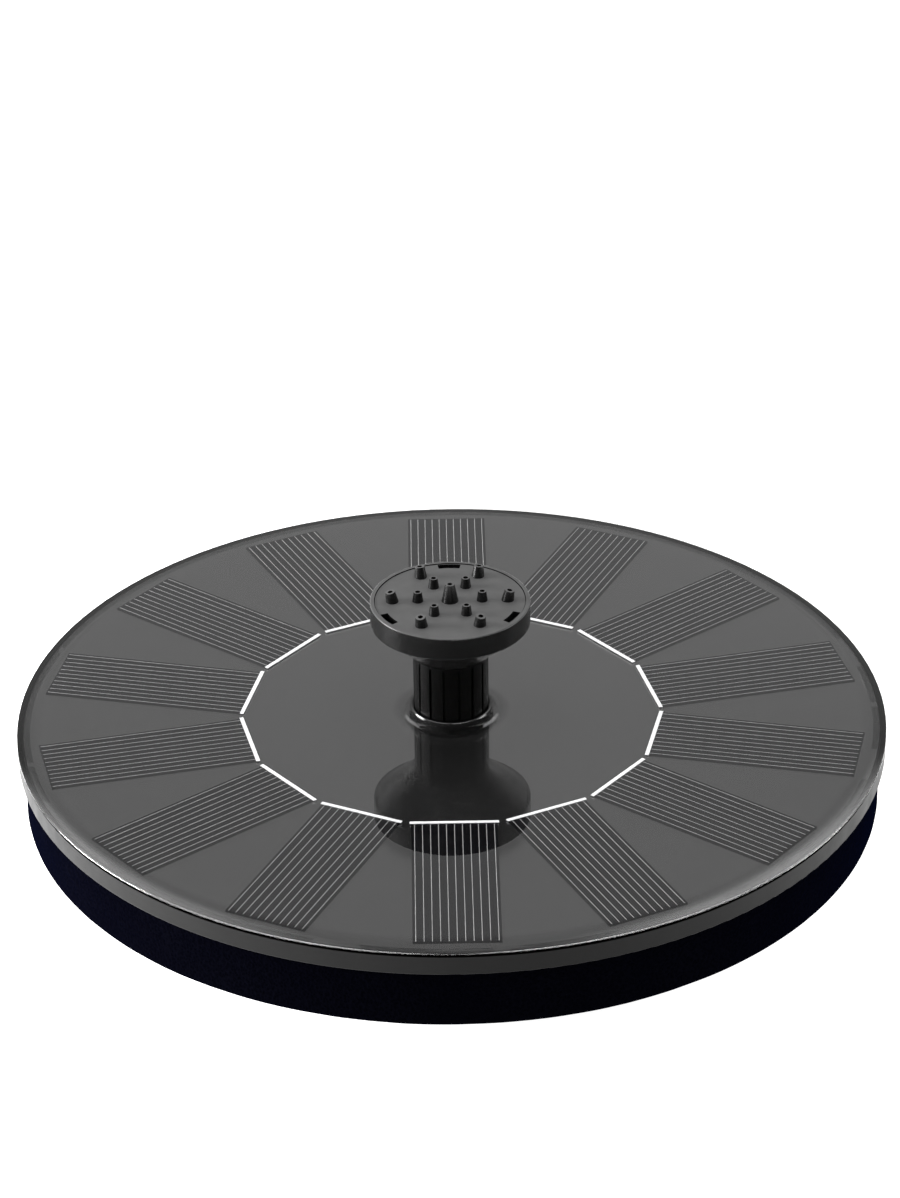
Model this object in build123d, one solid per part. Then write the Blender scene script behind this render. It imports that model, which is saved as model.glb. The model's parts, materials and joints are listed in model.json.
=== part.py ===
"""Floating solar fountain pump.

A round solar panel in a plastic tray floats on a foam ring. A sealed pump hangs under its centre, and a
spray head stands on the pump's outlet, above the panel. Millimetres, +Z up. The origin is the centre of
the intake cover's flat underside, which the pump stands on, and -Y is the front.
"""

import os
from math import cos, radians, sin, sqrt

from build123d import *

# Panel: a clear cover over the cells, on a board in a tray.
PANEL_R = 80.0
PANEL_TOP = 30.0
COVER_THICK = 0.7
COVER_DOME_W = 4.0
COVER_DOME_DROP = 0.4
COVER_EDGE_R = 0.15
COVER_LIP_W = 1.2
COVER_FLARE_R = 9.2
COVER_FLARE_TOP = 30.6
BOARD_R = 78.6
BOARD_TOP = 28.9
BOARD_THICK = 1.2
TRAY_R = 79.8
TRAY_RIM_Z = 29.0
TRAY_BOTTOM = 26.0
TRAY_RIM_W = 0.9
SKIRT_BOTTOM = 25.15
SKIRT_W = 0.9

# Solar cells: spokes on a regular polygon, each joined by a ribbon across its inner end.
CELL_COUNT = 14
CELL_W = 15.2
CELL_INNER = 37.5
CELL_OUTER = 75.5
CELL_THICK = 0.2
RIBBON_W = 0.7
RIBBON_L = 15.8
RIBBON_THICK = 0.1

# Float ring.
FLOAT_R = 78.8
FLOAT_HOLE_R = 31.0
FLOAT_BOTTOM = 13.8
FLOAT_EDGE_R = 0.8

# Pump housing: a can with the wet side below its bulkhead and the dry side above it.
HOUSING_R = 30.0
FIT = 0.05
HOUSING_WALL = 1.6
HOUSING_BOTTOM = 9.4
NECK_SHOULDER = 12.3
BULKHEAD_BOTTOM = 16.0
BULKHEAD_TOP = 17.2
DUCT_R = 3.8
SPIGOT_R = 5.4
SPIGOT_TOP = 39.5
CAN_R = HOUSING_R - HOUSING_WALL
WET_R = 26.9

# Motor and impeller, beside the outlet duct.
MOTOR_X = 16.8
CHAMBER_R = 9.6
CHAMBER_BOTTOM = 11.0
VOLUTE_WALL = 1.5
WELL_R = 5.0
WELL_WALL = 1.0
WELL_TOP = 24.0
WELL_CAP = 1.6
SHAFT_R = 1.0
SHAFT_PLAY = 0.04
SEAT_R = 1.9
SEAT_DEPTH = 1.0
SEAT_BITE = 0.7
WASHER_R = 1.8
WASHER_THICK = 0.3
END_PLAY = 0.3
IMPELLER_R = 8.2
IMPELLER_PLATE = 1.0
BLADE_COUNT = 6
BLADE_THICK = 0.8
BLADE_BEND_R = 6.5
HUB_R = 2.6
MAGNET_R = 4.4
MAGNET_BOTTOM = 16.5
IMPELLER_TOP = 15.6

# Stator, wound on a bobbin and standing on the driver board.
TOOTH_COUNT = 4
TOOTH_W = 2.0
CORE_BOTTOM = 19.2
CORE_TOP = 23.4
CORE_BORE_R = 6.15
CORE_SHOE_R = 6.85
CORE_RING_R = 9.4
CORE_R = 11.0
SHOE_HALF_ANGLE = 32
BOBBIN_WALL = 0.35
BOBBIN_FLANGE = 0.4
COIL_W = 0.75
COIL_H = 0.5
DRIVER_THICK = 0.8
DRIVER_BOTTOM = BULKHEAD_TOP + 0.1
DRIVER_TOP = DRIVER_BOTTOM + DRIVER_THICK

# Resin over the dry side, and the screws that hold the can to the tray.
RESIN_BOTTOM = 24.6
RESIN_TOP = 25.9
SCREW_R = 1.0
SCREW_LENGTH = 7.0
SCREW_HEAD_R = 1.9
SCREW_HEAD_H = 0.9
SCREW_CIRCLE_R = 25.6
SCREW_ANGLES = (60, 150, 210, 300)
BOSS_R = 2.4
COUNTERBORE = 1.0

# Lead wires from the panel board to the driver board.
WIRE_R = 0.6
WIRE_X = -12.0
WIRE_FOOT_X = -17.0
WIRE_Y = 2.2
WIRE_SLACK_HIGH = 23.2
WIRE_SLACK_LOW = 21.2
WIRE_BEND_R = 1.9

# Volute cover with the pump's inlet eye.
VOLUTE_COVER_THICK = 1.6
VOLUTE_COVER_R = 26.7
EYE_R = 5.2
EYE_BOSS_R = 2.8
EYE_ARM_COUNT = 3
EYE_ARM_W = 1.4
O_RING_SECTION_R = 0.5

# Intake cover: a slotted cup that pushes over the neck of the can.
INTAKE_TOP = 12.0
INTAKE_FLOOR = 1.6
SIDE_SLOT_LOW = 2.4
SIDE_SLOT_HIGH = 8.2
SIDE_SLOT_COUNT = 32
FLOOR_SLOT_COUNT = 20
EYE_SLOT_COUNT = 8
SLOT_W = 2.2

# Port flange round the outlet, level with the panel.
FLANGE_R = 7.6
FLANGE_LIP_R = 7.15
FLANGE_LIP_TOP = 31.3
FLANGE_GAP = 0.1

# Nozzle collar and spray head.
COLLAR_R = 6.9
COLLAR_BOTTOM = 30.3
COLLAR_TOP = 42.2
COLLAR_PLAIN = 0.5
COLLAR_RIBS = 16
GROOVE_W = 0.5
GROOVE_DEPTH = 0.5
NECK_R = 4.4
NECK_BORE_R = 3.4
NECK_TOP = 46.5
BELL_BOTTOM = 42.3
BELL_R = 6.9
BELL_TOP_R = 13.9
HEAD_R = 14.6
HEAD_BOTTOM = 48.55
HEAD_TOP = 52.95
HEAD_WALL = 0.8
HEAD_FLOOR = 44.3
CHAMBER_FOOT_R = 7.3
CHAMBER_SHOULDER = 49.4
LEDGE_W = 0.8
SOCKET_WALL = 1.0
PLATE_GAP = 0.12
PLATE_TOP = 52.8
PLATE_THICK = 1.2
JET_HOLE_R = 0.45
CENTRE_JET = (1.55, 0.85, 3.4)
INNER_JET_RING = 5.85
INNER_JET = (1.0, 0.75, 1.9)
OUTER_JET_RING = 10.5
OUTER_JET = (1.15, 0.9, 2.0)
JET_COUNT = 6
OUTER_TILT = 10
WINDOW_RING = 12.85
WINDOW_ANGLES = (90, 210, 330)
WINDOW_HALF_ANGLE = 9
WINDOW_W = 1.4


def disc(radius, low, high, x=0.0, y=0.0):
    """An upright cylinder from low to high."""
    return Pos(x, y, low) * extrude(Circle(radius), high - low)


def ring(outer, inner, low, high, x=0.0, y=0.0):
    """An upright tube from low to high."""
    return disc(outer, low, high, x, y) - disc(inner, low, high, x, y)


def block(x_low, x_high, y_low, y_high, low, high):
    """A box given by its limits."""
    size = (x_high - x_low, y_high - y_low, high - low)
    return Pos(x_low, y_low, low) * Box(*size, align=(Align.MIN, Align.MIN, Align.MIN))


def around(shape, count, start=0.0):
    """Copies of a shape, evenly spaced about the Z axis."""
    return [Rot(0, 0, start + 360 / count * i) * shape for i in range(count)]


def polar(radius, angle):
    """The x and y of a point at an angle in degrees."""
    return radius * cos(radians(angle)), radius * sin(radians(angle))


def screw_places():
    """Where the housing screws stand."""
    return [polar(SCREW_CIRCLE_R, angle) for angle in SCREW_ANGLES]


def level_edges(shape, height, radius):
    """The circular edges of a shape at one height and radius."""
    circles = shape.edges().filter_by(GeomType.CIRCLE)
    return [e for e in circles if abs(e.center().Z - height) < 1e-4 and abs(e.radius - radius) < 1e-4]


# ---- solar panel -------------------------------------------------------------------------------------


def clear_cover():
    """Clear top plate, domed at its edge and swept up round the port, with a bonded lip at both."""
    under = PANEL_TOP - COVER_THICK
    port_r = FLANGE_R + FLANGE_GAP
    shoulder = (PANEL_R - COVER_DOME_W, PANEL_TOP)
    brink = (PANEL_R, PANEL_TOP - COVER_DOME_DROP)
    dome_r = (COVER_DOME_W**2 + COVER_DOME_DROP**2) / (2 * COVER_DOME_DROP)
    crest = (port_r + FLANGE_GAP, COVER_FLARE_TOP)
    foot = (COVER_FLARE_R, PANEL_TOP)
    rise = COVER_FLARE_TOP - PANEL_TOP
    flare_r = ((foot[0] - crest[0]) ** 2 + rise**2) / (2 * rise)
    outline = RadiusArc(shoulder, brink, dome_r) + RadiusArc(crest, foot, -flare_r)
    outline += Polyline(brink, (PANEL_R, under), (port_r, under), (port_r, COVER_FLARE_TOP), crest)
    outline += Line(foot, shoulder)
    plate = revolve(make_face(Plane.XZ * outline), Axis.Z)
    plate = fillet(level_edges(plate, brink[1], PANEL_R), COVER_EDGE_R)
    outer_lip = ring(BOARD_R, BOARD_R - COVER_LIP_W, BOARD_TOP, under)
    port_lip = ring(port_r + COVER_LIP_W, port_r, BOARD_TOP, under)
    return plate + outer_lip + port_lip


def backing_board():
    """Board that carries the cells."""
    return ring(BOARD_R, FLANGE_R + FLANGE_GAP, BOARD_TOP - BOARD_THICK, BOARD_TOP)


def cell_at(index, shape):
    """Turns a piece made along +X to a cell's place; the first cell faces the front."""
    return Rot(0, 0, -90 + 360 / CELL_COUNT * index) * shape


def solar_cell(index):
    """One silicon strip."""
    strip = block(CELL_INNER, CELL_OUTER, -CELL_W / 2, CELL_W / 2, BOARD_TOP, BOARD_TOP + CELL_THICK)
    return cell_at(index, strip)


def bus_ribbon(index):
    """The tinned ribbon across the inner end of one cell."""
    low = BOARD_TOP + CELL_THICK
    half = RIBBON_L / 2
    ribbon = block(CELL_INNER, CELL_INNER + RIBBON_W, -half, half, low, low + RIBBON_THICK)
    return cell_at(index, ribbon)


def panel_tray():
    """Shallow plastic dish under the board, with a skirt round the top of the float."""
    floor_top = BOARD_TOP - BOARD_THICK
    tray = disc(TRAY_R, TRAY_BOTTOM, TRAY_RIM_Z) + ring(TRAY_R, TRAY_R - SKIRT_W, SKIRT_BOTTOM, TRAY_BOTTOM)
    tray -= disc(TRAY_R - TRAY_RIM_W, floor_top, TRAY_RIM_Z)
    tray -= disc(SPIGOT_R + FLANGE_GAP, TRAY_BOTTOM, floor_top)
    for x, y in screw_places():
        tray -= disc(SCREW_R + 0.1, TRAY_BOTTOM, floor_top, x, y)
        tray -= disc(SCREW_HEAD_R + 0.1, floor_top - COUNTERBORE, floor_top, x, y)
    for side in (-1, 1):
        tray -= disc(WIRE_R + 0.15, TRAY_BOTTOM, floor_top, WIRE_X, side * WIRE_Y)
    return fillet(level_edges(tray, SKIRT_BOTTOM, TRAY_R), 0.3)


def port_flange():
    """Ring that seals the panel's hole round the outlet, with a lip for the collar's foot."""
    foot = BOARD_TOP - BOARD_THICK
    flange = ring(FLANGE_R, SPIGOT_R, foot, FLANGE_LIP_TOP)
    flange -= disc(FLANGE_LIP_R, PANEL_TOP, FLANGE_LIP_TOP)
    return fillet(level_edges(flange, FLANGE_LIP_TOP, FLANGE_R), 0.2)


def housing_screws():
    """Pan-head screws through the tray into the can, a group of equal solids."""
    head_low = BOARD_TOP - BOARD_THICK - COUNTERBORE
    screw = disc(SCREW_HEAD_R, head_low, head_low + SCREW_HEAD_H)
    screw += disc(SCREW_R, head_low - SCREW_LENGTH, head_low)
    arm = SCREW_HEAD_R * 0.6
    slot = block(-arm, arm, -0.25, 0.25, head_low + SCREW_HEAD_H / 2, head_low + SCREW_HEAD_H)
    screw = screw - slot - Rot(0, 0, 90) * slot
    return Compound(children=[Pos(x, y, 0) * screw for x, y in screw_places()])


def float_ring():
    """Closed-cell foam float."""
    foam = ring(FLOAT_R, FLOAT_HOLE_R, FLOAT_BOTTOM, TRAY_BOTTOM)
    rims = level_edges(foam, FLOAT_BOTTOM, FLOAT_R) + level_edges(foam, FLOAT_BOTTOM, FLOAT_HOLE_R)
    return fillet(rims, FLOAT_EDGE_R)


# ---- pump --------------------------------------------------------------------------------------------


def water_way():
    """Plan of the impeller chamber, its tapering outlet channel and the foot of the outlet duct."""
    lean = (CHAMBER_R - DUCT_R) / MOTOR_X
    rise = sqrt(1 - lean**2)
    channel = Polygon(
        (0, -DUCT_R),
        (MOTOR_X - CHAMBER_R, -DUCT_R + 1),
        (MOTOR_X, 0),
        (MOTOR_X + CHAMBER_R * lean, CHAMBER_R * rise),
        (DUCT_R * lean, DUCT_R * rise),
        align=None,
    )
    return channel + Circle(DUCT_R) + Pos(MOTOR_X, 0) * Circle(CHAMBER_R)


def pump_housing():
    """Can, volute, motor well, outlet duct and spigot in one moulding."""
    can = disc(HOUSING_R, NECK_SHOULDER, TRAY_BOTTOM)
    can += disc(CAN_R, HOUSING_BOTTOM, NECK_SHOULDER)
    can -= disc(WET_R, HOUSING_BOTTOM, BULKHEAD_BOTTOM)
    can -= disc(CAN_R, BULKHEAD_TOP, TRAY_BOTTOM)
    depth = BULKHEAD_BOTTOM - CHAMBER_BOTTOM
    volute = Pos(0, 0, CHAMBER_BOTTOM) * extrude(offset(water_way(), VOLUTE_WALL), depth)
    can += volute & disc(CAN_R, CHAMBER_BOTTOM, BULKHEAD_BOTTOM)
    can += disc(WELL_R + WELL_WALL, BULKHEAD_TOP, WELL_TOP + WELL_CAP, MOTOR_X)
    can += disc(SPIGOT_R, BULKHEAD_TOP, SPIGOT_TOP)
    for x, y in screw_places():
        can += disc(BOSS_R, BULKHEAD_TOP, TRAY_BOTTOM, x, y) & disc(CAN_R + 0.5, 0, TRAY_BOTTOM)
    can -= Pos(0, 0, CHAMBER_BOTTOM) * extrude(water_way(), depth)
    can -= disc(DUCT_R, CHAMBER_BOTTOM, SPIGOT_TOP)
    can -= disc(WELL_R, BULKHEAD_BOTTOM, WELL_TOP, MOTOR_X)
    can -= disc(SEAT_R, WELL_TOP, WELL_TOP + SEAT_DEPTH, MOTOR_X)
    screw_top = BOARD_TOP - BOARD_THICK - COUNTERBORE
    for x, y in screw_places():
        can -= disc(SCREW_R, screw_top - SCREW_LENGTH, TRAY_BOTTOM, x, y)
    return chamfer(level_edges(can, SPIGOT_TOP, SPIGOT_R), 0.5)


def driver_board():
    """Round circuit board on the bulkhead, with the motor's driver."""
    board = disc(CAN_R - 0.3, DRIVER_BOTTOM, DRIVER_TOP)
    board -= disc(SPIGOT_R + 0.2, DRIVER_BOTTOM, DRIVER_TOP)
    board -= disc(WELL_R + WELL_WALL + 0.2, DRIVER_BOTTOM, DRIVER_TOP, MOTOR_X)
    for x, y in screw_places():
        board -= disc(BOSS_R + 0.3, DRIVER_BOTTOM, DRIVER_TOP, x, y)
    return board


def hall_sensor():
    """Rotor sensor between two coils, close to the magnet."""
    x = MOTOR_X - (CORE_SHOE_R + CORE_RING_R) / 2
    return block(x - 0.6, x + 0.6, -1.5, 1.5, DRIVER_TOP, DRIVER_TOP + 3)


def blocking_diode():
    """Moulded diode that keeps the panel from being fed backwards."""
    body = block(-21.5, -18, -6.5, -3.9, DRIVER_TOP + 0.1, DRIVER_TOP + 2.3)
    for x in (-22.1, -18.5):
        body += block(x, x + 1.1, -5.9, -4.5, DRIVER_TOP, DRIVER_TOP + 0.8)
    return body


def buffer_capacitor():
    """Upright electrolytic capacitor."""
    can = disc(3.0, DRIVER_TOP, DRIVER_TOP + 5.4, -14, 9)
    can = fillet(level_edges(can, DRIVER_TOP + 5.4, 3.0), 0.5)
    return can - ring(3.0, 2.75, DRIVER_TOP + 0.7, DRIVER_TOP + 1.2, -14, 9)


def stator_core():
    """Laminated iron ring with inward teeth."""
    core = ring(CORE_R, CORE_RING_R, CORE_BOTTOM, CORE_TOP)
    reach = CORE_SHOE_R * 2
    wedge = Polygon(
        (0, 0),
        polar(reach, -SHOE_HALF_ANGLE),
        polar(reach, SHOE_HALF_ANGLE),
        align=None,
    )
    shoe = Pos(0, 0, CORE_BOTTOM) * extrude(wedge, CORE_TOP - CORE_BOTTOM)
    shoe = shoe & ring(CORE_SHOE_R, CORE_BORE_R, CORE_BOTTOM, CORE_TOP)
    tooth_start = CORE_SHOE_R - 0.3
    tooth = block(tooth_start, CORE_RING_R + 0.3, -TOOTH_W / 2, TOOTH_W / 2, CORE_BOTTOM, CORE_TOP)
    for piece in around(shoe + tooth, TOOTH_COUNT, 45):
        core += piece
    return Pos(MOTOR_X, 0, 0) * core


def stator_bobbin():
    """Plastic former that insulates the teeth."""
    low = CORE_BOTTOM - BOBBIN_FLANGE
    high = CORE_TOP + BOBBIN_FLANGE
    former = ring(CORE_R - 0.3, CORE_RING_R, low, CORE_BOTTOM)
    former += ring(CORE_R - 0.3, CORE_RING_R, CORE_TOP, high)
    half = TOOTH_W / 2
    start = CORE_SHOE_R + 0.05
    sleeve = block(start, CORE_RING_R, -half - BOBBIN_WALL, half + BOBBIN_WALL, low, high)
    bridge = block(start, CORE_RING_R + 0.5, -half, half, low, high)
    sleeve = sleeve & disc(CORE_RING_R - 0.02, low, high)
    hole = block(start - 1, CORE_R, -half, half, CORE_BOTTOM, CORE_TOP)
    for piece in around(sleeve + bridge - hole, TOOTH_COUNT, 45):
        former += piece
    return Pos(MOTOR_X, 0, 0) * former


def stator_coil(index):
    """Copper winding on one tooth."""
    half = TOOTH_W / 2 + BOBBIN_WALL
    low = CORE_BOTTOM - BOBBIN_FLANGE
    high = CORE_TOP + BOBBIN_FLANGE
    inner, outer = CORE_SHOE_R + 0.2, CORE_RING_R - 0.5
    coil = block(inner, outer, -half - COIL_W, half + COIL_W, low - COIL_H, high + COIL_H)
    coil = fillet(coil.edges().filter_by(Axis.X), 0.4)
    coil -= block(inner, outer, -half, half, low, high)
    return Pos(MOTOR_X, 0, 0) * Rot(0, 0, 45 + 360 / TOOTH_COUNT * index) * coil


def lead_wire(side):
    """Insulated lead from the panel board to the driver board, with a slack bend."""
    y = side * WIRE_Y
    foot_y = y + side
    path = FilletPolyline(
        (WIRE_X, y, BOARD_TOP - BOARD_THICK),
        (WIRE_X, y, WIRE_SLACK_HIGH),
        (WIRE_FOOT_X, foot_y, WIRE_SLACK_LOW),
        (WIRE_FOOT_X, foot_y, DRIVER_TOP),
        radius=WIRE_BEND_R,
    )
    return sweep(Plane(origin=path @ 0, z_dir=path % 0) * Circle(WIRE_R), path)


def resin_seal():
    """Potting resin over the motor; it leaves out the duct, the bosses and the wires."""
    seal = disc(CAN_R, RESIN_BOTTOM, RESIN_TOP)
    seal -= disc(SPIGOT_R, RESIN_BOTTOM, RESIN_TOP)
    seal -= disc(WELL_R + WELL_WALL, RESIN_BOTTOM, WELL_TOP + WELL_CAP, MOTOR_X)
    for x, y in screw_places():
        seal -= disc(BOSS_R, RESIN_BOTTOM, RESIN_TOP, x, y)
    for side in (-1, 1):
        seal -= disc(WIRE_R + 0.02, RESIN_BOTTOM, RESIN_TOP, WIRE_X, side * WIRE_Y)
    return seal


def rotor_shaft():
    """Fixed ceramic shaft."""
    low = CHAMBER_BOTTOM - SEAT_BITE
    high = WELL_TOP + SEAT_BITE
    shaft = disc(SHAFT_R, low, high, MOTOR_X)
    return chamfer(level_edges(shaft, low, SHAFT_R) + level_edges(shaft, high, SHAFT_R), 0.15)


def front_shaft_seat():
    """Rubber cup in the volute cover that holds the shaft's lower end."""
    seat = disc(SEAT_R, CHAMBER_BOTTOM - SEAT_DEPTH, CHAMBER_BOTTOM, MOTOR_X)
    return seat - disc(SHAFT_R, CHAMBER_BOTTOM - SEAT_BITE, CHAMBER_BOTTOM, MOTOR_X)


def rear_shaft_seat():
    """Rubber cup in the motor well that holds the shaft's upper end."""
    seat = disc(SEAT_R, WELL_TOP, WELL_TOP + SEAT_DEPTH, MOTOR_X)
    return seat - disc(SHAFT_R, WELL_TOP, WELL_TOP + SEAT_BITE, MOTOR_X)


def thrust_washers():
    """Two equal washers at the ends of the rotor."""
    lower = ring(WASHER_R, SHAFT_R, CHAMBER_BOTTOM, CHAMBER_BOTTOM + WASHER_THICK, MOTOR_X)
    upper = ring(WASHER_R, SHAFT_R, WELL_TOP - WASHER_THICK, WELL_TOP, MOTOR_X)
    return Compound(children=[lower, upper])


def impeller():
    """Impeller with curved blades and the sleeve that carries the magnet."""
    low = CHAMBER_BOTTOM + WASHER_THICK + END_PLAY
    high = WELL_TOP - WASHER_THICK - END_PLAY
    wheel = disc(IMPELLER_R, IMPELLER_TOP - IMPELLER_PLATE, IMPELLER_TOP)
    wheel += disc(HUB_R, low, high)
    curve = Pos(0, BLADE_BEND_R) * (Circle(BLADE_BEND_R + BLADE_THICK) - Circle(BLADE_BEND_R))
    curve = curve & Pos(IMPELLER_R / 2, 0) * Rectangle(IMPELLER_R, 4 * IMPELLER_R)
    curve = curve & Circle(IMPELLER_R - 0.2)
    curve = curve & Pos(0, -2) * Rectangle(4 * IMPELLER_R, 2 * BLADE_BEND_R + 4)
    blade = Pos(0, 0, low + 0.3) * extrude(curve, IMPELLER_TOP - IMPELLER_PLATE / 2 - low - 0.3)
    for piece in around(blade, BLADE_COUNT):
        wheel += piece
    wheel -= disc(SHAFT_R + SHAFT_PLAY, low, high)
    return Pos(MOTOR_X, 0, 0) * wheel


def rotor_magnet():
    """Ring magnet on the impeller's sleeve."""
    high = WELL_TOP - WASHER_THICK - END_PLAY - 0.2
    return ring(MAGNET_R, HUB_R, MAGNET_BOTTOM, high, MOTOR_X)


def volute_cover():
    """Plate under the impeller chamber, with the inlet eye and the lower shaft boss."""
    low = CHAMBER_BOTTOM - VOLUTE_COVER_THICK
    plate = disc(VOLUTE_COVER_R, low, CHAMBER_BOTTOM)
    middle = (low + CHAMBER_BOTTOM) / 2
    groove_floor = WET_R - 2 * O_RING_SECTION_R
    plate -= ring(HOUSING_R, groove_floor, middle - O_RING_SECTION_R, middle + O_RING_SECTION_R)
    plate -= disc(EYE_R, low, CHAMBER_BOTTOM, MOTOR_X)
    spider = disc(EYE_BOSS_R, low, CHAMBER_BOTTOM)
    arm = block(0, EYE_R + 0.4, -EYE_ARM_W / 2, EYE_ARM_W / 2, low, CHAMBER_BOTTOM)
    for piece in around(arm, EYE_ARM_COUNT):
        spider += piece
    plate += Pos(MOTOR_X, 0, 0) * spider
    return plate - disc(SEAT_R, CHAMBER_BOTTOM - SEAT_DEPTH, CHAMBER_BOTTOM, MOTOR_X)


def volute_o_ring():
    """Rubber ring between the volute cover and the can."""
    middle = CHAMBER_BOTTOM - VOLUTE_COVER_THICK / 2
    section = O_RING_SECTION_R - 0.02
    return Pos(0, 0, middle) * Torus(WET_R - O_RING_SECTION_R, section)


def intake_cover():
    """Slotted cup that keeps leaves out of the pump; its rim is a push fit on the can's neck."""
    cup = disc(HOUSING_R, 0, INTAKE_TOP)
    cup = fillet(level_edges(cup, 0, HOUSING_R), 1.0)
    cup -= disc(CAN_R + FIT, INTAKE_FLOOR, INTAKE_TOP)
    half = SLOT_W / 2
    side_slot = block(CAN_R - 2, HOUSING_R + 2, -half, half, SIDE_SLOT_LOW, SIDE_SLOT_HIGH)
    long_slot = Pos(18.5, 0, 0) * extrude(SlotOverall(11, SLOT_W), INTAKE_FLOOR)
    short_slot = Pos(7.5, 0, 0) * extrude(SlotOverall(6, SLOT_W), INTAKE_FLOOR)
    slots = around(side_slot, SIDE_SLOT_COUNT)
    slots += around(long_slot, FLOOR_SLOT_COUNT)
    slots += around(short_slot, EYE_SLOT_COUNT)
    for slot in slots:
        cup -= slot
    return cup


# ---- nozzle ------------------------------------------------------------------------------------------


def nozzle_collar():
    """Ribbed collar: pushes over the outlet spigot, and its neck holds the spray head."""
    collar = disc(COLLAR_R, COLLAR_BOTTOM, COLLAR_TOP)
    half = GROOVE_W / 2
    rib_top = COLLAR_TOP - COLLAR_PLAIN
    groove = block(COLLAR_R - GROOVE_DEPTH, COLLAR_R + 1, -half, half, COLLAR_BOTTOM, rib_top)
    for piece in around(groove, COLLAR_RIBS, 180 / COLLAR_RIBS):
        collar -= piece
    collar += disc(NECK_R, COLLAR_TOP, NECK_TOP)
    collar -= disc(NECK_BORE_R, COLLAR_BOTTOM, NECK_TOP)
    return collar - disc(SPIGOT_R + FIT, COLLAR_BOTTOM, SPIGOT_TOP + 0.3)


def head_cup():
    """Bell of the spray head: a chamber under the jets, with a socket for the collar's neck."""
    socket_r = NECK_R + FIT
    plate_low = PLATE_TOP - PLATE_THICK
    lip_r = HEAD_R - HEAD_WALL
    chamber_r = lip_r - LEDGE_W
    outline = Polyline(
        (socket_r, BELL_BOTTOM),
        (BELL_R, BELL_BOTTOM),
        (BELL_TOP_R, HEAD_BOTTOM),
        (HEAD_R, HEAD_BOTTOM),
        (HEAD_R, HEAD_TOP),
        (lip_r, HEAD_TOP),
        (lip_r, plate_low),
        (chamber_r, plate_low),
        (chamber_r, CHAMBER_SHOULDER),
        (CHAMBER_FOOT_R, HEAD_FLOOR),
        (socket_r + SOCKET_WALL, HEAD_FLOOR),
        (socket_r + SOCKET_WALL, NECK_TOP),
        (socket_r, NECK_TOP),
        (socket_r, BELL_BOTTOM),
    )
    bell = revolve(make_face(Plane.XZ * outline), Axis.Z)
    return fillet(level_edges(bell, HEAD_BOTTOM, HEAD_R) + level_edges(bell, HEAD_TOP, HEAD_R), 0.25)


def jet(sizes):
    """A hollow jet standing on the plate: base radius, tip radius and height."""
    base, tip, height = sizes
    foot = PLATE_THICK / 2
    stem = Pos(0, 0, -foot / 2) * Cylinder(base, foot)
    return stem + Pos(0, 0, height / 2) * Cone(base, tip, height)


def jet_bore(sizes):
    """The water hole of a jet, right through the plate."""
    height = sizes[2]
    return Pos(0, 0, height / 2 - PLATE_THICK) * Cylinder(JET_HOLE_R, height + 3 * PLATE_THICK)


def jet_places():
    """Each jet's sizes and its place on the plate."""
    places = [(CENTRE_JET, Pos(0, 0, PLATE_TOP))]
    for i in range(JET_COUNT):
        turn = Rot(0, 0, 360 / JET_COUNT * i)
        places.append((INNER_JET, turn * Pos(INNER_JET_RING, 0, PLATE_TOP)))
        places.append((OUTER_JET, turn * Pos(OUTER_JET_RING, 0, PLATE_TOP) * Rot(0, OUTER_TILT, 0)))
    return places


def jet_plate():
    """Top plate of the spray head with its jets and the windows of its snap hooks."""
    radius = HEAD_R - HEAD_WALL - PLATE_GAP
    low = PLATE_TOP - PLATE_THICK
    plate = disc(radius, low, PLATE_TOP)
    for sizes, place in jet_places():
        plate += place * jet(sizes)
    for sizes, place in jet_places():
        plate -= place * jet_bore(sizes)
    band = ring(WINDOW_RING + WINDOW_W / 2, WINDOW_RING - WINDOW_W / 2, low, PLATE_TOP)
    edge_x, edge_y = polar(2 * WINDOW_RING, WINDOW_HALF_ANGLE)
    wedge = Polygon((0, 0), (edge_x, -edge_y), (edge_x, edge_y), align=None)
    window = band & Pos(0, 0, low) * extrude(wedge, PLATE_THICK)
    for angle in WINDOW_ANGLES:
        plate -= Rot(0, 0, angle) * window
    return plate


# ---- all pieces --------------------------------------------------------------------------------------


def pieces():
    """Every node's name with its solid."""
    made = {
        "clear_cover": clear_cover(),
        "backing_board": backing_board(),
        "panel_tray": panel_tray(),
        "port_flange": port_flange(),
        "housing_screws": housing_screws(),
        "float_ring": float_ring(),
        "pump_housing": pump_housing(),
        "driver_board": driver_board(),
        "hall_sensor": hall_sensor(),
        "blocking_diode": blocking_diode(),
        "buffer_capacitor": buffer_capacitor(),
        "stator_core": stator_core(),
        "stator_bobbin": stator_bobbin(),
        "lead_wire_positive": lead_wire(1),
        "lead_wire_negative": lead_wire(-1),
        "resin_seal": resin_seal(),
        "rotor_shaft": rotor_shaft(),
        "front_shaft_seat": front_shaft_seat(),
        "rear_shaft_seat": rear_shaft_seat(),
        "thrust_washers": thrust_washers(),
        "impeller": impeller(),
        "rotor_magnet": rotor_magnet(),
        "volute_cover": volute_cover(),
        "volute_o_ring": volute_o_ring(),
        "intake_cover": intake_cover(),
        "nozzle_collar": nozzle_collar(),
        "head_cup": head_cup(),
        "jet_plate": jet_plate(),
    }
    for i in range(TOOTH_COUNT):
        made[f"stator_coil_{i + 1}"] = stator_coil(i)
    for i in range(CELL_COUNT):
        made[f"solar_cell_{i + 1:02}"] = solar_cell(i)
        made[f"bus_ribbon_{i + 1:02}"] = bus_ribbon(i)
    return made


os.makedirs("parts", exist_ok=True)
for node, solid in pieces().items():
    export_step(solid, f"parts/{node}.step")
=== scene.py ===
"""Looks of the floating solar fountain pump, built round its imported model. Metres, +Z up, front at -Y."""

import json
from math import cos, pi, radians, sin, tau

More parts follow.
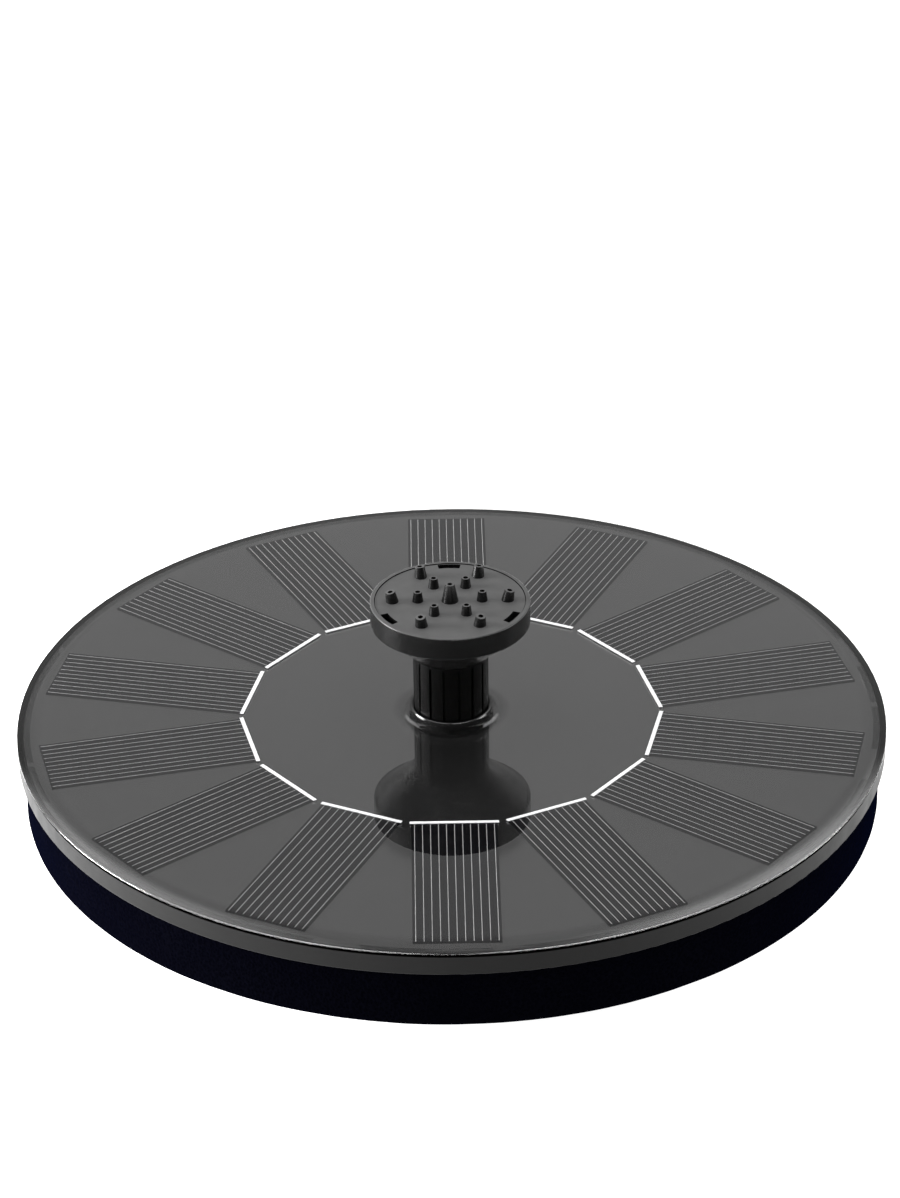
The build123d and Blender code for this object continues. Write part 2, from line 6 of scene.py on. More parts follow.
import bmesh
import bpy
from mathutils import Matrix, Vector, noise


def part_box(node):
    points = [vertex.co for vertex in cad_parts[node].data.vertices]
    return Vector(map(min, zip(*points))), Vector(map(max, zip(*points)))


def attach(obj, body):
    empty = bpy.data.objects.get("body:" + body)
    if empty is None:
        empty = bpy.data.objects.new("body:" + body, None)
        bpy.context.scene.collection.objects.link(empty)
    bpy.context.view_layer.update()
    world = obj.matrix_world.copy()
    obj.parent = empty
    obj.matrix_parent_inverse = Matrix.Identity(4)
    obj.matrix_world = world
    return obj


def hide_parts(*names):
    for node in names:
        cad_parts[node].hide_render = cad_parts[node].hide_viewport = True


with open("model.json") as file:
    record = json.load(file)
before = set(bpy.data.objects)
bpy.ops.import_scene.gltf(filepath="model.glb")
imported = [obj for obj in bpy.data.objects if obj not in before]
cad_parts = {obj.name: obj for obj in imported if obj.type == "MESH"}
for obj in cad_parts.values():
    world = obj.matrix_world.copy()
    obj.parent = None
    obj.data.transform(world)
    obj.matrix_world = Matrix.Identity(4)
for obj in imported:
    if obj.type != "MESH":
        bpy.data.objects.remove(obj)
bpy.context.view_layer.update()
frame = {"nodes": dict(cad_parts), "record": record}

MM = 0.001
CELL_COUNT = 14

# Printed lines on each cell.
FINGER_COUNT = 11
FINGER_PITCH = 1.41 * MM
FINGER_WIDTH = 0.12 * MM
FINGER_HEIGHT = 0.02 * MM
FINGER_CROWN = 0.6

# The foam ring: its gap to the housing, how far it stays inside its CAD solid, its rounding and its mesh.
FOAM_GAP = 1 * MM
FOAM_SUNK = 0.05 * MM
FOAM_ROUNDING = 0.9 * MM
FOAM_STEP = 1.3 * MM
FOAM_TURNS = 320
FOAM_CORNER_STEPS = 6

# Where the cover's edge starts to round over, and the heights and reach where the tray's rim is painted black
# as painted shade under it.
EDGE_ROUNDS = (29.42 * MM, 29.52 * MM)
RIM_PAINTED_SHADE_Z = (28.72 * MM, 28.78 * MM)
RIM_INSIDE = (78 * MM, 78.4 * MM)

# The port: where the flange's glossy lip ends, and where the cover's own reflections start.
LIP_ENDS = (8.2 * MM, 8.8 * MM)
COVER_MIRRORS = (7.9 * MM, 11 * MM)

# Radiance of the backdrop and of the overhead softboxes.
BACKDROP = 0.23
SOFTBOX = 4.3

# The floor, and the light of its middle, which keeps the shadow under the foam faint.
FLOOR_SIDES = 96
FLOOR_MIDDLE_R = 0.5
FLOOR_R = 6.0
FLOOR_GLOW = 0.95
GLOW_LEFT = 2.1
GLOW_RIGHT = 0.8

# The camera: where it stands, how its aim is raised and rolled, and how long its lens is.
AIM = Vector((0, 0, 30 * MM))
CAMERA_DISTANCE = 0.7906
CAMERA_AZIMUTH = radians(-0.44)
CAMERA_ELEVATION = radians(30.76)
CAMERA_RAISED = radians(1.46)
CAMERA_ROLL = radians(0.69)
SENSOR_MM = 36.0
LENS_MM = 171.7


# ---- node materials ----------------------------------------------------------------------------------


class Paint:
    """A material with one Principled shader, and short calls for the nodes that feed it."""

    def __init__(self, name, colour, roughness, **plain):
        self.material = bpy.data.materials.new(name)
        self.material.use_nodes = True
        self.tree = self.material.node_tree
        self.shader = self.tree.nodes["Principled BSDF"]
        self.place = self.add("ShaderNodeTexCoord").outputs["Object"]
        self.shader.inputs["Base Color"].default_value = (*colour, 1)
        self.shader.inputs["Roughness"].default_value = roughness
        for key, value in plain.items():
            self.shader.inputs[key.replace("_", " ")].default_value = value

    def add(self, kind, **settings):
        """A new node with some of its settings."""
        node = self.tree.nodes.new(kind)
        for key, value in settings.items():
            setattr(node, key, value)
        return node

    def link(self, output, target):
        """Feeds a socket from an output."""
        self.tree.links.new(output, target)

    def stretched(self, x, y, z):
        """The object's own coordinates with each axis multiplied."""
        node = self.add("ShaderNodeMapping")
        self.link(self.place, node.inputs["Vector"])
        node.inputs["Scale"].default_value = (x, y, z)
        return node.outputs["Vector"]

    def noise(self, size, detail=3.0, where=None):
        """Noise with features of a size in metres, about 0 to 1."""
        node = self.add("ShaderNodeTexNoise")
        self.link(where or self.place, node.inputs["Vector"])
        node.inputs["Scale"].default_value = 1 / size
        node.inputs["Detail"].default_value = detail
        return node.outputs["Fac"]

    def pores(self, size):
        """Distance to the nearest cell centre, for foam and grain."""
        node = self.add("ShaderNodeTexVoronoi")
        self.link(self.place, node.inputs["Vector"])
        node.inputs["Scale"].default_value = 1 / size
        return node.outputs["Distance"]

    def axis(self, name):
        """One coordinate, X, Y or Z, of the object's own space."""
        node = self.add("ShaderNodeSeparateXYZ")
        self.link(self.place, node.inputs["Vector"])
        return node.outputs[name]

    def reach(self):
        """Distance from the Z axis of the object's own space."""
        x, y = self.axis("X"), self.axis("Y")
        return self.maths("SQRT", self.maths("ADD", self.maths("POWER", x, 2), self.maths("POWER", y, 2)))

    def maths(self, operation, a, b=0.0):
        """A Math node on outputs or numbers."""
        node = self.add("ShaderNodeMath", operation=operation)
        for socket, value in zip(node.inputs, (a, b)):
            if isinstance(value, (int, float)):
                socket.default_value = value
            else:
                self.link(value, socket)
        return node.outputs[0]

    def range(self, value, low, high, to_low=0.0, to_high=1.0):
        """value, taken from low..high to to_low..to_high and held there."""
        node = self.add("ShaderNodeMapRange")
        self.link(value, node.inputs["Value"])
        for key, number in (("From Min", low), ("From Max", high), ("To Min", to_low), ("To Max", to_high)):
            node.inputs[key].default_value = number
        return node.outputs["Result"]

    def mix(self, factor, first, second):
        """A colour between two, each a tuple or an output."""
        node = self.add("ShaderNodeMix", data_type="RGBA")
        self.link(factor, node.inputs["Factor"])
        for key, colour in (("A", first), ("B", second)):
            socket = [s for s in node.inputs if s.name == key and s.type == "RGBA"][0]
            if isinstance(colour, tuple):
                socket.default_value = (*colour, 1)
            else:
                self.link(colour, socket)
        return [s for s in node.outputs if s.type == "RGBA"][0]

    def colour(self, output):
        """Feeds the base colour."""
        self.link(output, self.shader.inputs["Base Color"])

    def rough(self, output):
        """Feeds the roughness."""
        self.link(output, self.shader.inputs["Roughness"])

    def surface(self, share, first, second):
        """Mixes two shaders into the material's surface, by the share of the second."""
        both = self.add("ShaderNodeMixShader")
        for target, source in zip(both.inputs, (share, first, second)):
            self.link(source, target)
        output = [n for n in self.tree.nodes if n.type == "OUTPUT_MATERIAL"][0]
        self.link(both.outputs[0], output.inputs["Surface"])

    def bump(self, height, depth):
        """Relief from a height of 0 to 1, as deep as depth in metres."""
        node = self.add("ShaderNodeBump")
        node.inputs["Strength"].default_value = 1.0
        node.inputs["Distance"].default_value = depth
        self.link(height, node.inputs["Height"])
        self.link(node.outputs["Normal"], self.shader.inputs["Normal"])


def shaded(colour, share):
    """A colour times a number."""
    return tuple(part * share for part in colour)


def moulded(name, colour, roughness, grain=0.35 * MM, depth=0.006 * MM, **plain):
    """Moulded plastic: a fine spark-eroded grain, slow colour drift and uneven gloss."""
    paint = Paint(name, colour, roughness, **plain)
    drift = paint.noise(9 * MM, 4)
    paint.colour(paint.mix(drift, shaded(colour, 0.75), shaded(colour, 1.25)))
    paint.rough(paint.range(paint.noise(3 * MM, 5), 0.3, 0.7, roughness * 0.88, roughness * 1.12))
    paint.bump(paint.noise(grain, 2), depth)
    return paint.material


def metal(name, colour, roughness, stretch=(1, 1, 1)):
    """Bare metal with fine drawn marks along the axes that are multiplied least."""
    paint = Paint(name, colour, roughness, Metallic=1.0)
    marks = paint.noise(0.5 * MM, 4, paint.stretched(*stretch))
    paint.colour(paint.mix(marks, shaded(colour, 0.82), shaded(colour, 1.1)))
    paint.rough(paint.range(marks, 0.25, 0.75, roughness * 0.8, roughness * 1.25))
    paint.bump(marks, 0.004 * MM)
    return paint.material


def clear_resin():
    """Clear cover: it shows what is under it, and its outside mirrors by angle, least on its upright wall."""
    paint = Paint("clear_resin", (0.9, 0.9, 0.9), 0.02)
    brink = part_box("clear_cover")[1].x
    reach = paint.reach()

    gloss = paint.add("ShaderNodeBsdfGlossy")
    gloss.inputs["Color"].default_value = (1, 1, 1, 1)
    waves = paint.range(paint.noise(14 * MM, 3), 0.3, 0.7, 0.004, 0.012)
    dome = paint.range(reach, brink - 4.5 * MM, brink - 2 * MM, 0.0, 0.05)
    paint.link(paint.maths("ADD", waves, dome), gloss.inputs["Roughness"])

    fresnel = paint.add("ShaderNodeFresnel")
    fresnel.inputs["IOR"].default_value = 1.5
    faces = paint.range(reach, brink - 5 * MM, brink - 2 * MM, 2.0, 1.2)
    mirror = paint.maths("MULTIPLY", fresnel.outputs["Fac"], faces)
    edge = paint.range(reach, brink - 0.3 * MM, brink - 0.1 * MM, 0.0, 0.12)
    outside = paint.maths("SUBTRACT", 1.0, paint.add("ShaderNodeNewGeometry").outputs["Backfacing"])
    share = paint.maths("MULTIPLY", paint.maths("ADD", mirror, edge), outside)

    wall = paint.range(reach, brink - 0.2 * MM, brink - 0.1 * MM)
    rounding = paint.range(paint.axis("Z"), *EDGE_ROUNDS)
    on_wall = paint.maths("MULTIPLY", wall, paint.maths("ADD", 0.04, rounding))
    kept = paint.maths("ADD", paint.maths("SUBTRACT", 1.0, wall), on_wall)
    kept = paint.maths("MULTIPLY", kept, paint.range(reach, *COVER_MIRRORS, 0.04, 1.0))
    share = paint.maths("MINIMUM", paint.maths("MULTIPLY", share, kept), 1.0)

    clear = paint.add("ShaderNodeBsdfTransparent")
    clear.inputs["Color"].default_value = (0.97, 0.97, 0.97, 1)
    paint.surface(share, clear.outputs[0], gloss.outputs[0])
    paint.tree.nodes.remove(paint.shader)
    return paint.material


def black_laminate():
    """Board under the cover: black film, a shade lighter inside the ring of ribbons."""
    inside, outside = (0.21, 0.21, 0.21), (0.19, 0.19, 0.19)
    paint = Paint("black_laminate", outside, 0.12, Metallic=0.95)
    angle = paint.maths("ARCTAN2", paint.axis("Y"), paint.axis("X"))
    step = tau / CELL_COUNT
    turned = paint.maths("ADD", angle, pi / 2 + step / 2 + tau)
    local = paint.maths("SUBTRACT", paint.maths("MODULO", turned, step), step / 2)
    reach = paint.maths("MULTIPLY", paint.reach(), paint.maths("COSINE", local))
    edge = -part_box("solar_cell_01")[1].y
    mask = paint.range(reach, edge - 0.1 * MM, edge + 0.1 * MM)
    film = paint.mix(mask, inside, outside)
    drift = paint.noise(6 * MM, 4)
    paint.colour(paint.mix(paint.range(drift, 0.3, 0.7, 0.0, 0.06), film, (0.25, 0.25, 0.25)))
    paint.rough(paint.range(paint.noise(12 * MM, 3), 0.3, 0.7, 0.10, 0.13))
    return paint.material


def silicon():
    """Solar cell: near-black coated silicon with faint cloudy grain."""
    paint = Paint("silicon", (0.002, 0.002, 0.003), 0.4, Specular_IOR_Level=0.02)
    cloud = paint.noise(3 * MM, 6)
    paint.colour(paint.mix(cloud, (0.0012, 0.0012, 0.0016), (0.0036, 0.0036, 0.0046)))
    paint.rough(paint.range(paint.noise(0.8 * MM, 4), 0.3, 0.7, 0.35, 0.5))
    return paint.material


def tinned_ribbon():
    """Bright tinned ribbon with dipped-solder waves."""
    paint = Paint("tinned_ribbon", (0.95, 0.95, 0.95), 0.45, Metallic=0.15)
    waves = paint.noise(0.9 * MM, 4)
    paint.colour(paint.mix(waves, (0.82, 0.82, 0.83), (0.98, 0.98, 0.98)))
    paint.rough(paint.range(waves, 0.3, 0.7, 0.35, 0.55))
    paint.bump(waves, 0.02 * MM)
    return paint.material


def silver_paste():
    """Printed silver of the cells' finger lines."""
    paint = Paint("silver_paste", (0.5, 0.5, 0.5), 0.55, Metallic=0.1)
    grains = paint.noise(0.15 * MM, 3)
    paint.colour(paint.mix(grains, (0.27, 0.27, 0.27), (0.40, 0.40, 0.40)))
    paint.bump(grains, 0.004 * MM)
    return paint.material


def foam():
    """Closed-cell foam: fine pores, cut skin, near-black with a blue cast."""
    paint = Paint("foam", (0.001, 0.001, 0.003), 0.85, Specular_IOR_Level=0.0)
    paint.shader.inputs["Sheen Weight"].default_value = 0.07
    paint.shader.inputs["Sheen Roughness"].default_value = 0.35
    paint.shader.inputs["Sheen Tint"].default_value = (0.0, 0.015, 0.12, 1)
    cells = paint.pores(0.55 * MM)
    large = paint.pores(1.3 * MM)
    shade = paint.mix(paint.range(cells, 0.05, 0.7), (0.0004, 0.0004, 0.0008), (0.0011, 0.0011, 0.0022))
    drift = paint.range(paint.noise(12 * MM, 4), 0.35, 0.65, 0.0, 0.5)
    paint.colour(paint.mix(drift, shade, (0.0006, 0.0006, 0.0014)))
    paint.rough(paint.range(paint.noise(2 * MM, 3), 0.3, 0.7, 0.75, 0.95))
    paint.bump(paint.maths("ADD", cells, paint.maths("MULTIPLY", large, 0.5)), 0.12 * MM)
    return paint.material


def circuit_board():
    """Green solder mask over copper tracks."""
    paint = Paint("circuit_board", (0.01, 0.09, 0.035), 0.35)
    bricks = paint.add("ShaderNodeTexBrick")
    paint.link(paint.place, bricks.inputs["Vector"])
    bricks.inputs["Scale"].default_value = 1 / (7 * MM)
    bricks.inputs["Mortar Size"].default_value = 0.03
    tracks = bricks.outputs["Fac"]
    paint.colour(paint.mix(tracks, (0.008, 0.075, 0.03), (0.03, 0.17, 0.06)))
    paint.bump(tracks, 0.03 * MM)
    paint.rough(paint.range(paint.noise(1.5 * MM), 0.3, 0.7, 0.28, 0.42))
    return paint.material


def copper_wire():
    """Enamelled copper turns, wound round each tooth."""
    paint = Paint("copper_wire", (0.6, 0.22, 0.08), 0.3, Metallic=0.9, Coat_Weight=0.4)
    low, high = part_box("rotor_shaft")
    x = paint.maths("SUBTRACT", paint.axis("X"), (low.x + high.x) / 2)
    squares = paint.maths("ADD", paint.maths("POWER", x, 2), paint.maths("POWER", paint.axis("Y"), 2))
    reach = paint.maths("SQRT", squares)
    turns = paint.maths("ABSOLUTE", paint.maths("SINE", paint.maths("MULTIPLY", reach, pi / (0.3 * MM))))
    paint.colour(paint.mix(turns, (0.28, 0.08, 0.03), (0.72, 0.27, 0.10)))
    paint.bump(turns, 0.12 * MM)
    return paint.material


def core_iron():
    """A stack of varnished laminations."""
    paint = Paint("core_iron", (0.3, 0.3, 0.31), 0.45, Metallic=0.8)
    sheets = paint.maths("SINE", paint.maths("MULTIPLY", paint.axis("Z"), tau / (0.5 * MM)))
    sheets = paint.range(sheets, -0.6, 0.2)
    paint.colour(paint.mix(sheets, (0.10, 0.10, 0.10), (0.34, 0.34, 0.35)))
    paint.rough(paint.range(paint.noise(1 * MM), 0.3, 0.7, 0.38, 0.55))
    paint.bump(sheets, 0.04 * MM)
    return paint.material


def glazed(name, colour, roughness, specks):
    """Ceramic, ferrite or potting resin: smooth with fine specks."""
    paint = Paint(name, colour, roughness)
    dots = paint.range(paint.pores(0.5 * MM), 0.05, 0.25)
    paint.colour(paint.mix(dots, specks, colour))
    paint.rough(paint.range(paint.noise(2 * MM), 0.3, 0.7, roughness * 0.8, roughness * 1.25))
    paint.bump(paint.noise(0.3 * MM), 0.002 * MM)
    return paint.material


def tray_plastic():
    """Tray and port flange: satin wall, glossy lip round the port, and painted shade on the rim under the
    cover's edge, which is painted near black without gloss.
    """
    paint = Paint("tray_plastic", (0.006, 0.006, 0.006), 0.42)
    reach = paint.reach()
    port = paint.range(reach, *LIP_ENDS, 1.0, 0.0)
    rim = paint.range(reach, *RIM_INSIDE)
    # Painted shade: the rim's top under the cover's edge is painted near black and loses its gloss, standing
    # in for the shade in the gap.
    painted_gap_shade = paint.maths("MULTIPLY", rim, paint.range(paint.axis("Z"), *RIM_PAINTED_SHADE_Z))
    body = paint.mix(paint.noise(9 * MM, 4), (0.0045, 0.0045, 0.0045), (0.0075, 0.0075, 0.0075))
    paint.colour(paint.mix(painted_gap_shade, body, (0.0004, 0.0004, 0.0004)))
    level = paint.maths("ADD", paint.range(painted_gap_shade, 0.0, 1.0, 0.12, 0.0), paint.maths("MULTIPLY", port, 0.9))
    paint.link(level, paint.shader.inputs["Specular IOR Level"])
    satin = paint.range(paint.noise(3 * MM, 5), 0.3, 0.7, 0.38, 0.46)
    paint.rough(paint.maths("SUBTRACT", satin, paint.maths("MULTIPLY", port, 0.27)))
    paint.bump(paint.noise(0.3 * MM, 2), 0.003 * MM)
    return paint.material


def head_plastic():
    """Moulded spray head: black, with painted light from above on the faces that look up, which are painted
    paler and are rougher.
    """
    paint = Paint("head_plastic", (0.01, 0.01, 0.01), 0.28, Specular_IOR_Level=0.24)
    split = paint.add("ShaderNodeSeparateXYZ")
    paint.link(paint.add("ShaderNodeNewGeometry").outputs["Normal"], split.inputs["Vector"])
    up = paint.range(split.outputs["Z"], 0.3, 0.95)
    body = paint.mix(paint.noise(4 * MM, 4), (0.003, 0.003, 0.003), (0.006, 0.006, 0.006))
    # Painted light: faces that look up get a paler colour, as if lit from above.
    painted_top_light = paint.mix(paint.noise(2.5 * MM, 5), (0.046, 0.046, 0.046), (0.066, 0.066, 0.066))
    paint.colour(paint.mix(up, body, painted_top_light))
    paint.rough(paint.range(up, 0.0, 1.0, 0.26, 0.45))
    paint.bump(paint.noise(0.25 * MM, 2), 0.003 * MM)
    return paint.material


def slot_materials():
    """One material for each slot of the record."""
    return {
        "clear_resin": clear_resin(),
        "silicon": silicon(),
        "tinned_ribbon": tinned_ribbon(),
        "black_laminate": black_laminate(),
        "tray_plastic": tray_plastic(),
        "stainless": metal("stainless", (0.55, 0.55, 0.56), 0.3),
        "foam": foam(),
        "pump_plastic": moulded("pump_plastic", (0.012, 0.012, 0.013), 0.42, grain=0.4 * MM, depth=0.01 * MM),
        "circuit_board": circuit_board(),
        "chip_plastic": moulded("chip_plastic", (0.02, 0.02, 0.02), 0.55, grain=0.15 * MM),
        "capacitor_can": metal("capacitor_can", (0.6, 0.6, 0.62), 0.35, stretch=(1, 1, 6)),
        "core_iron": core_iron(),
        "bobbin_plastic": moulded("bobbin_plastic", (0.62, 0.58, 0.48), 0.5),
        "red_insulation": moulded("red_insulation", (0.45, 0.01, 0.01), 0.38, grain=0.5 * MM),
        "black_insulation": moulded("black_insulation", (0.012, 0.012, 0.012), 0.38, grain=0.5 * MM),
        "potting_resin": glazed("potting_resin", (0.012, 0.012, 0.013), 0.14, (0.03, 0.03, 0.03)),
        "white_ceramic": glazed("white_ceramic", (0.78, 0.77, 0.73), 0.2, (0.6, 0.59, 0.55)),
        "seal_rubber": moulded("seal_rubber", (0.016, 0.016, 0.016), 0.75, grain=0.2 * MM, depth=0.01 * MM),
        "impeller_plastic": moulded("impeller_plastic", (0.5, 0.5, 0.48), 0.45),
        "ferrite": glazed("ferrite", (0.05, 0.05, 0.052), 0.4, (0.09, 0.09, 0.09)),
        "nozzle_plastic": moulded(
            "nozzle_plastic",
            (0.002, 0.002, 0.002),
            0.24,
            grain=0.25 * MM,
            depth=0.003 * MM,
            Specular_IOR_Level=0.17,
        ),
        "head_plastic": head_plastic(),
        "copper_wire": copper_wire(),
    }


def finish_nodes(materials):
    """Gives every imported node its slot's material."""
    for row in frame["record"]["subparts"]:
        slots = frame["nodes"][row["node"]].data.materials
        slots.clear()
        slots.append(materials[row["material_slot"]])


# ---- pieces ------------------------------------------------------------------------------------------


def new_piece(name, mesh, material, body):
    """A mesh made into a piece that rides on a body."""
    piece = bpy.data.objects.new(name, mesh)
    bpy.context.scene.collection.objects.link(piece)
    mesh.materials.append(material)
    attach(piece, body)
    return piece


def finger_strip(form, low_x, high_x, y, z, width, height):
    """One printed line along X: a low bar with sloping sides and ends."""
    corners = []
    for share, level in ((1.0, z), (FINGER_CROWN, z + height)):
        half = width / 2 * share
        inset = width / 2 * (1 - share)
        start, end = low_x + inset, high_x - inset
        for x, side in ((start, -half), (end, -half), (end, half), (start, half)):
            corners.append(form.verts.new((x, y + side, level)))
    foot, top = corners[:4], corners[4:]
    form.faces.new(reversed(foot))
    form.faces.new(top)
    for i in range(4):
        j = (i + 1) % 4
        form.faces.new((foot[i], foot[j], top[j], top[i]))


def cell_fingers(material):
    """The silver lines on each cell, from its ribbon to near its outer end."""
    cell_low, cell_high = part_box("solar_cell_01")
    ribbon_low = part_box("bus_ribbon_01")[0]
    start, end = -ribbon_low.y + 0.02 * MM, -cell_low.y - 0.2 * MM
    for index in range(CELL_COUNT):
        form = bmesh.new()
        for line in range(FINGER_COUNT):
            y = FINGER_PITCH * (line - (FINGER_COUNT - 1) / 2)
            finger_strip(form, start, end, y, cell_high.z, FINGER_WIDTH, FINGER_HEIGHT)
        form.transform(Matrix.Rotation(-pi / 2 + tau / CELL_COUNT * index, 4, "Z"))
        mesh = bpy.data.meshes.new(f"cell_fingers_{index + 1:02}")
        form.to_mesh(mesh)
        form.free()
        new_piece(mesh.name, mesh, material, "pump")


def revolve(form, outline, turns):
    """A closed ring made by turning a closed outline of (radius, z) points about Z."""
    rings = []
    for i in range(turns):
        angle = tau * i / turns
        rings.append([form.verts.new((r * cos(angle), r * sin(angle), z)) for r, z in outline])
    for i in range(turns):
        near, far = rings[i], rings[(i + 1) % turns]
        for j in range(len(outline)):
            k = (j + 1) % len(outline)
            form.faces.new((near[j], far[j], far[k], near[k]))


def rounded_ring_outline(inner, outer, low, high, radius, step):
    """A rectangle of (radius, z) points with rounded corners, its sides cut into short steps."""
    corners = (
        (outer - radius, low + radius, -pi / 2),
        (outer - radius, high - radius, 0),
        (inner + radius, high - radius, pi / 2),
        (inner + radius, low + radius, pi),
    )
    points = []
    for r, z, start in corners:
        for i in range(FOAM_CORNER_STEPS + 1):
            angle = start + pi / 2 * i / FOAM_CORNER_STEPS
            points.append(Vector((r + radius * cos(angle), z + radius * sin(angle))))
    outline = []
    for i, point in enumerate(points):
        following = points[(i + 1) % len(points)]
        pieces = max(1, round((following - point).length / step))
        outline += [tuple(point.lerp(following, k / pieces)) for k in range(pieces)]
    return outline


def float_foam(material):
    """The foam float, die-cut from sheet: soft edges and a slightly uneven cut."""
    low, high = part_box("float_ring")
    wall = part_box("pump_housing")[1].x
    inner, outer = wall + FOAM_GAP, high.x - FOAM_SUNK
    bottom, top = low.z + FOAM_SUNK, high.z - FOAM_SUNK
    form = bmesh.new()
    revolve(form, rounded_ring_outline(inner, outer, bottom, top, FOAM_ROUNDING, FOAM_STEP), FOAM_TURNS)
    form.normal_update()
    for vertex in form.verts:
        coarse = noise.noise(vertex.co / (9 * MM))
        fine = noise.noise(vertex.co / (2.2 * MM))
        dent = 0.09 * MM * (0.5 + 0.5 * coarse) + 0.05 * MM * (0.5 + 0.5 * fine)
        vertex.co -= vertex.normal * dent
    mesh = bpy.data.meshes.new("float_foam")
    form.to_mesh(mesh)
    form.free()
    for face in mesh.polygons:
        face.use_smooth = True
    piece = new_piece(mesh.name, mesh, material, "pump")
    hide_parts("float_ring")


# ---- studio ------------------------------------------------------------------------------------------


def add_camera():
    """The camera, aimed a little above the panel's centre."""
    level = Matrix.Rotation(CAMERA_AZIMUTH, 3, "Z")
    away = level @ Vector((0, -cos(CAMERA_ELEVATION), sin(CAMERA_ELEVATION)))
    forward = -away
    right = level @ Vector((1, 0, 0))
    up = right.cross(forward)
    tilt = Matrix.Rotation(CAMERA_RAISED, 3, right)
    forward, up = tilt @ forward, tilt @ up
    roll = Matrix.Rotation(CAMERA_ROLL, 3, forward)
    right, up = roll @ right, roll @ up
    data = bpy.data.cameras.new("camera")
    data.sensor_fit = "HORIZONTAL"
    data.sensor_width = SENSOR_MM
    data.lens = LENS_MM
    data.clip_start = 0.01
    camera = bpy.data.objects.new("camera", data)
    turn = Matrix((right, up, -forward)).transposed()
    camera.matrix_world = Matrix.Translation(AIM + away * CAMERA_DISTANCE) @ turn.to_4x4()
    bpy.context.scene.collection.objects.link(camera)
    bpy.context.scene.camera = camera


def add_light(name, place, size, power):
    """A rectangular softbox aimed at the object."""
    data = bpy.data.lights.new(name, "AREA")
    data.shape = "RECTANGLE"
    data.size, data.size_y = size
    data.energy = power
    light = bpy.data.objects.new(name, data)
    light.location = place
    light.rotation_euler = (AIM - Vector(place)).to_track_quat("-Z", "Y").to_euler()
    bpy.context.scene.collection.objects.link(light)


def floor_paint(name, grey):
    """Plain pale floor, clear from below so that the underside of the object can be seen."""
    paint = Paint(name, (grey, grey, grey), 0.9, Specular_IOR_Level=0.0)
    darker, lighter = grey - 0.01, grey + 0.01
    paint.colour(paint.mix(paint.noise(0.4, 2), (darker, darker, darker), (lighter, lighter, lighter)))
    from_below = paint.add("ShaderNodeNewGeometry").outputs["Backfacing"]
    paint.surface(from_below, paint.shader.outputs[0], paint.add("ShaderNodeBsdfTransparent").outputs[0])
    return paint


def floor_circle(form, radius):
    """Points of one circle on the floor."""
    turns = [tau * i / FLOOR_SIDES for i in range(FLOOR_SIDES)]
    return [form.verts.new((radius * cos(turn), radius * sin(turn), 0)) for turn in turns]


def add_floor():
    """Plain pale floor: a wide disc whose middle glows a little, more so to the left and the right."""
    middle = floor_paint("floor_middle", 0.3)
    x = middle.axis("X")
    left = middle.maths("MULTIPLY", middle.range(x, -0.11, 0.01, 1.0, 0.0), GLOW_LEFT)
    right = middle.maths("MULTIPLY", middle.range(x, 0.03, 0.12), GLOW_RIGHT)
    glow = middle.maths("ADD", FLOOR_GLOW, middle.maths("ADD", left, right))
    middle.link(glow, middle.shader.inputs["Emission Strength"])
    middle.shader.inputs["Emission Color"].default_value = (1, 1, 1, 1)
    form = bmesh.new()
    inner, outer = floor_circle(form, FLOOR_MIDDLE_R), floor_circle(form, FLOOR_R)
    form.faces.new(inner)
    for i in range(FLOOR_SIDES):
        j = (i + 1) % FLOOR_SIDES
        form.faces.new((inner[i], outer[i], outer[j], inner[j])).material_index = 1
    mesh = bpy.data.meshes.new("floor")
    form.to_mesh(mesh)
    form.free()
    mesh.materials.append(middle.material)
    mesh.materials.append(floor_paint("floor_rest", 0.86).material)
    floor = bpy.data.objects.new("floor", mesh)
    bpy.context.scene.collection.objects.link(floor)


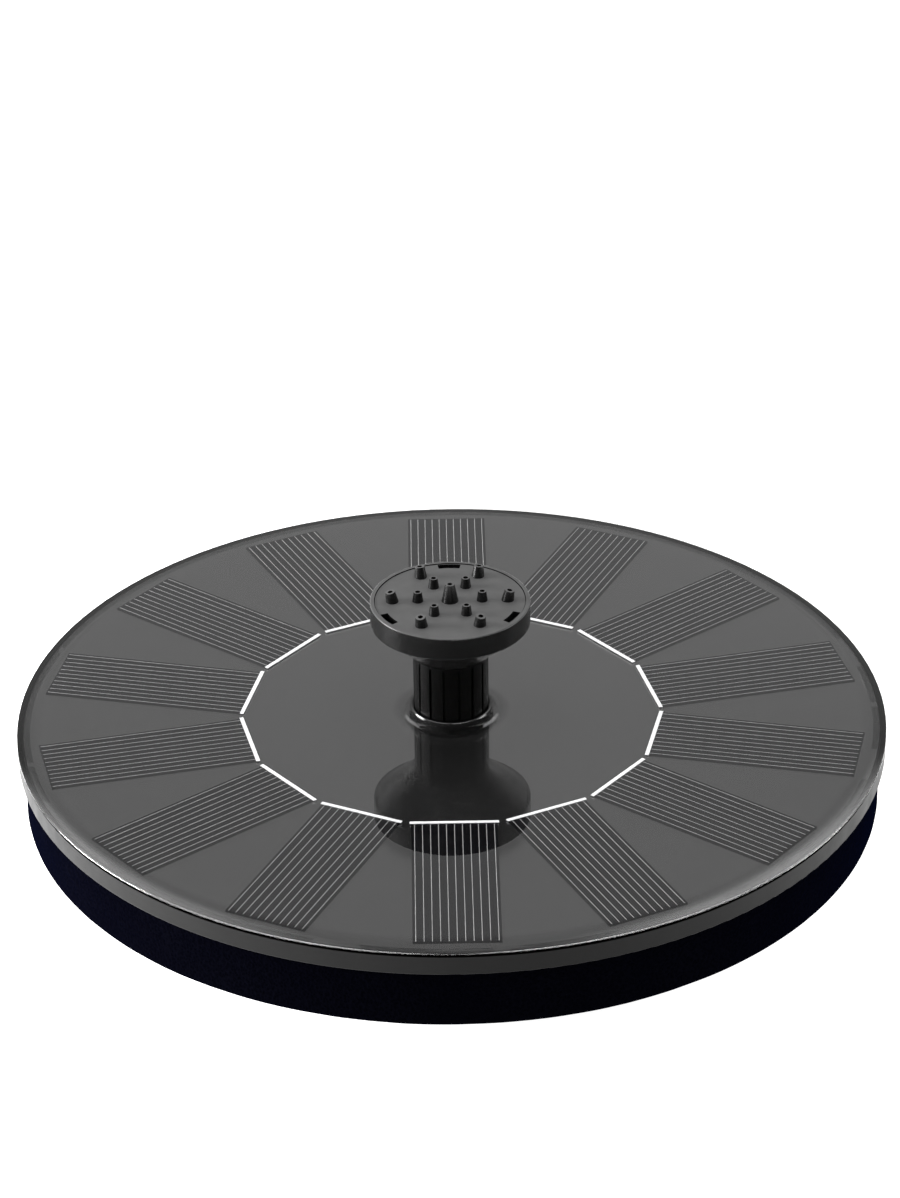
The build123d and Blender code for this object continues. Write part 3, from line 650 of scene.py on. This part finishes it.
class Sky:
    """Node tree of the surroundings, which depend on direction only."""

    def __init__(self):
        self.world = bpy.data.worlds.new("studio")
        self.world.use_nodes = True
        self.tree = self.world.node_tree
        split = self.tree.nodes.new("ShaderNodeSeparateXYZ")
        where = self.tree.nodes.new("ShaderNodeTexCoord").outputs["Generated"]
        self.tree.links.new(where, split.inputs["Vector"])
        self.x, self.y, self.z = split.outputs

    def maths(self, operation, a, b=0.0):
        """A Math node on outputs or numbers."""
        node = self.tree.nodes.new("ShaderNodeMath")
        node.operation = operation
        for socket, value in zip(node.inputs, (a, b)):
            if isinstance(value, (int, float)):
                socket.default_value = value
            else:
                self.tree.links.new(value, socket)
        return node.outputs[0]

    def step(self, value, low, high):
        """0 below low, 1 above high and smooth between."""
        node = self.tree.nodes.new("ShaderNodeMapRange")
        node.interpolation_type = "SMOOTHSTEP"
        self.tree.links.new(value, node.inputs["Value"])
        node.inputs["From Min"].default_value = low
        node.inputs["From Max"].default_value = high
        return node.outputs["Result"]

    def product(self, *parts):
        """Outputs and numbers multiplied together."""
        result = parts[0]
        for part in parts[1:]:
            result = self.maths("MULTIPLY", result, part)
        return result

    def less(self, value, low, high):
        """1 below low and 0 above high."""
        return self.maths("SUBTRACT", 1.0, self.step(value, low, high))


def add_world():
    """Dim surroundings, a pale backdrop behind, and softboxes overhead that fade to the middle and back."""
    sky = Sky()
    # A direction is told by where it meets a ceiling one unit up: so far across and so far along.
    height = sky.maths("MAXIMUM", sky.z, 0.02)
    across = sky.maths("ABSOLUTE", sky.maths("DIVIDE", sky.x, height))
    along = sky.maths("DIVIDE", sky.y, height)
    behind = sky.product(sky.step(sky.z, 0.02, 0.4), sky.less(sky.z, 0.8, 0.93), sky.step(sky.y, 0.0, 0.4))
    behind = sky.product(behind, sky.maths("ADD", 1.0, sky.product(sky.less(sky.z, 0.46, 0.53), 0.25)))
    lean = sky.product(across, sky.maths("SUBTRACT", 1.7, along))
    boxes = sky.product(sky.step(lean, 0.05, 0.3), sky.less(across, 0.45, 0.85), sky.step(along, -0.9, -0.6))
    above = sky.step(sky.z, 0.02, 0.05)
    light = sky.maths("ADD", 0.1, sky.product(behind, BACKDROP))
    light = sky.maths("ADD", light, sky.product(boxes, above, SOFTBOX))
    background = sky.tree.nodes["Background"]
    sky.tree.links.new(light, background.inputs["Strength"])
    background.inputs["Color"].default_value = (1, 1, 1, 1)
    bpy.context.scene.world = sky.world
    bpy.context.scene.view_settings.view_transform = "Standard"


add_camera()
materials = slot_materials()
finish_nodes(materials)
cell_fingers(silver_paste())
float_foam(materials["foam"])
add_floor()
add_world()
add_light("side_left", (-0.95, 0.05, 0.2), (0.5, 0.4), 34)
add_light("side_right", (0.95, 0.1, 0.2), (0.4, 0.4), 4)

bpy.context.view_layer.update()
